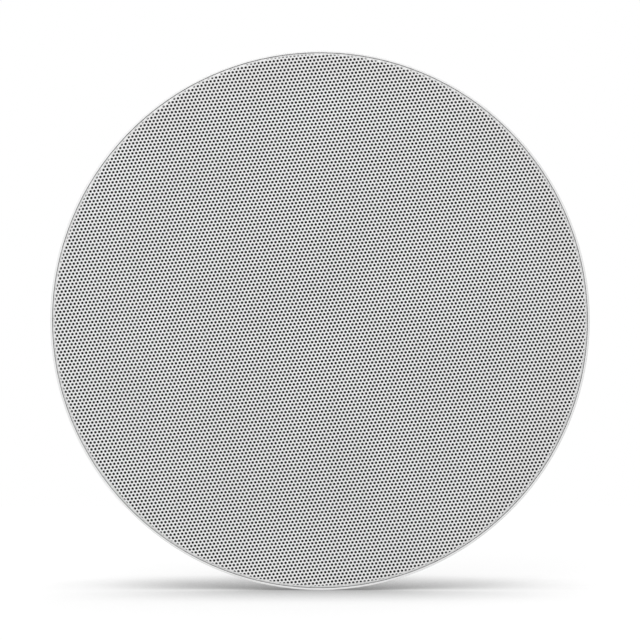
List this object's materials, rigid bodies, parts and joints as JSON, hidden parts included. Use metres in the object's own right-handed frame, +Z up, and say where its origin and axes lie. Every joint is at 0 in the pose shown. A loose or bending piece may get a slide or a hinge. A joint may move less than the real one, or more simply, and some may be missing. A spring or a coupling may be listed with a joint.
{
  "type": "in-ceiling speaker",
  "caption": "Round flush in-ceiling two-way speaker with a white perforated magnetic grille, cone woofer, swivelling dome tweeter and swing-out ceiling clamps.",
  "frame": {"origin": "centre of the flange's rear face, in the plane of the ceiling", "axes": "+Z up into the ceiling void, along the speaker's axis; the grille faces -Z"},
  "size_m": [0.28, 0.28, 0.117],
  "materials": {
    "powder_coated_grille": "satin white powder coat",
    "black_cloth": "black acoustic cloth",
    "nickel": "nickel plated",
    "white_abs": "moulded satin white",
    "black_steel": "black powder coat",
    "foam": "closed-cell foam",
    "black_screw": "black oxide",
    "butyl_rubber": "matt butyl rubber",
    "cone_paper": "pressed polypropylene",
    "cap_paper": "pressed polypropylene",
    "former_film": "amber film",
    "copper": "enamelled copper wire",
    "spider_cloth": "resin-stiffened cloth",
    "zinc_steel": "zinc plated",
    "ferrite": "ground ferrite",
    "phenolic": "phenolic paper board",
    "red_lead": "PVC sheath",
    "black_lead": "PVC sheath",
    "black_abs": "moulded satin black",
    "silk_dome": "coated silk",
    "circuit_board": "green solder mask",
    "film_capacitor": "yellow film wrap",
    "cement": "white cement",
    "black_gloss": "moulded black",
    "red_gloss": "moulded red",
    "zinc_screw": "zinc plated",
    "brass": "turned",
    "grey_nylon": "moulded glass-filled nylon"
  },
  "bodies": {
    "frame": {"grille_magnets": "nickel", "frame": "white_abs", "woofer_basket": "black_steel", "woofer_gasket": "foam", "woofer_screws": "black_screw", "woofer_surround": "butyl_rubber", "woofer_spider": "spider_cloth", "woofer_top_plate": "zinc_steel", "woofer_magnet": "ferrite", "woofer_yoke": "zinc_steel", "woofer_tag_strip": "phenolic", "woofer_tinsel_leads": "copper", "woofer_leads": "red_lead", "tweeter_bridge": "black_abs", "bridge_screws": "black_screw", "swivel_retainer": "black_abs", "tweeter_lead": "black_lead", "crossover_tray": "black_abs", "tray_screws": "zinc_screw", "crossover_board": "circuit_board", "board_screws": "zinc_screw", "woofer_inductor": "copper", "tweeter_inductor": "copper", "woofer_capacitor": "film_capacitor", "tweeter_capacitor": "film_capacitor", "resistor": "cement", "terminal_block": "black_gloss"},
    "grille": {"grille": "powder_coated_grille", "grille_scrim": "black_cloth"},
    "cone": {"woofer_cone": "cone_paper", "woofer_dust_cap": "cap_paper", "woofer_coil_former": "former_film", "woofer_voice_coil": "copper"},
    "swivel": {"swivel_ring": "black_abs"},
    "tweeter": {"tweeter_housing": "black_abs", "tweeter_pot": "zinc_steel", "tweeter_magnet": "nickel", "tweeter_pole_plate": "zinc_steel", "tweeter_dome": "silk_dome", "tweeter_faceplate": "black_abs", "tweeter_tail": "black_lead"},
    "button_red": {"terminal_button_red": "red_gloss"},
    "button_black": {"terminal_button_black": "black_gloss"},
    "clamp_1_screw": {"clamp_screw_1": "zinc_screw"},
    "clamp_1_nut": {"clamp_nut_1": "brass"},
    "clamp_1_leg": {"clamp_leg_1": "grey_nylon"},
    "clamp_2_screw": {"clamp_screw_2": "zinc_screw"},
    "clamp_2_nut": {"clamp_nut_2": "brass"},
    "clamp_2_leg": {"clamp_leg_2": "grey_nylon"},
    "clamp_3_screw": {"clamp_screw_3": "zinc_screw"},
    "clamp_3_nut": {"clamp_nut_3": "brass"},
    "clamp_3_leg": {"clamp_leg_3": "grey_nylon"},
    "clamp_4_screw": {"clamp_screw_4": "zinc_screw"},
    "clamp_4_nut": {"clamp_nut_4": "brass"},
    "clamp_4_leg": {"clamp_leg_4": "grey_nylon"}
  },
  "joints": [
    {"name": "grille_pull", "type": "slide", "parent": "frame", "child": "grille", "axis": [0, 0, -1], "range_m": [0, 0.04]},
    {"name": "cone_travel", "type": "slide", "parent": "frame", "child": "cone", "axis": [0, 0, 1], "range_m": [-0.004, 0.004], "stiffness_N_per_m": 1500, "deforming": ["woofer_surround", "woofer_spider", "woofer_tinsel_leads"]},
    {"name": "tweeter_turn", "type": "hinge", "parent": "frame", "child": "swivel", "pos_m": [0, 0, 0.00898], "axis": [0, 0, 1], "range_deg": [-180, 180]},
    {"name": "tweeter_tilt", "type": "hinge", "parent": "swivel", "child": "tweeter", "pos_m": [0, 0, 0.00898], "axis": [1, 0, 0], "range_deg": [-15, 15], "deforming": ["tweeter_tail"]},
    {"name": "clamp_1_travel", "type": "slide", "parent": "frame", "child": "clamp_1_nut", "axis": [0, 0, -1], "range_m": [0, 0.024]},
    {"name": "clamp_1_turn", "type": "hinge", "parent": "frame", "child": "clamp_1_screw", "pos_m": [0.07961, 0.07961, 0], "axis": [0, 0, 1], "range_deg": [0, 10801]},
    {"name": "clamp_1_swing", "type": "hinge", "parent": "clamp_1_nut", "child": "clamp_1_leg", "pos_m": [0.07961, 0.07961, 0], "axis": [0, 0, 1], "range_deg": [0, 90]},
    {"name": "clamp_2_travel", "type": "slide", "parent": "frame", "child": "clamp_2_nut", "axis": [0, 0, -1], "range_m": [0, 0.024]},
    {"name": "clamp_2_turn", "type": "hinge", "parent": "frame", "child": "clamp_2_screw", "pos_m": [-0.07961, 0.07961, 0], "axis": [0, 0, 1], "range_deg": [0, 10801]},
    {"name": "clamp_2_swing", "type": "hinge", "parent": "clamp_2_nut", "child": "clamp_2_leg", "pos_m": [-0.07961, 0.07961, 0], "axis": [0, 0, 1], "range_deg": [0, 90]},
    {"name": "clamp_3_travel", "type": "slide", "parent": "frame", "child": "clamp_3_nut", "axis": [0, 0, -1], "range_m": [0, 0.024]},
    {"name": "clamp_3_turn", "type": "hinge", "parent": "frame", "child": "clamp_3_screw", "pos_m": [-0.07961, -0.07961, 0], "axis": [0, 0, 1], "range_deg": [0, 10801]},
    {"name": "clamp_3_swing", "type": "hinge", "parent": "clamp_3_nut", "child": "clamp_3_leg", "pos_m": [-0.07961, -0.07961, 0], "axis": [0, 0, 1], "range_deg": [0, 90]},
    {"name": "clamp_4_travel", "type": "slide", "parent": "frame", "child": "clamp_4_nut", "axis": [0, 0, -1], "range_m": [0, 0.024]},
    {"name": "clamp_4_turn", "type": "hinge", "parent": "frame", "child": "clamp_4_screw", "pos_m": [0.07961, -0.07961, 0], "axis": [0, 0, 1], "range_deg": [0, 10801]},
    {"name": "clamp_4_swing", "type": "hinge", "parent": "clamp_4_nut", "child": "clamp_4_leg", "pos_m": [0.07961, -0.07961, 0], "axis": [0, 0, 1], "range_deg": [0, 90]},
    {"name": "button_red_press", "type": "slide", "parent": "frame", "child": "button_red", "axis": [0, 0, -1], "range_m": [0, 0.0025], "stiffness_N_per_m": 200, "springref_m": -0.004},
    {"name": "button_black_press", "type": "slide", "parent": "frame", "child": "button_black", "axis": [0, 0, -1], "range_m": [0, 0.0025], "stiffness_N_per_m": 200, "springref_m": -0.004}
  ],
  "couplings": [
    {"joint": "clamp_1_turn", "follows": "clamp_1_travel", "rad_per_m": 7854},
    {"joint": "clamp_2_turn", "follows": "clamp_2_travel", "rad_per_m": 7854},
    {"joint": "clamp_3_turn", "follows": "clamp_3_travel", "rad_per_m": 7854},
    {"joint": "clamp_4_turn", "follows": "clamp_4_travel", "rad_per_m": 7854}
  ]
}
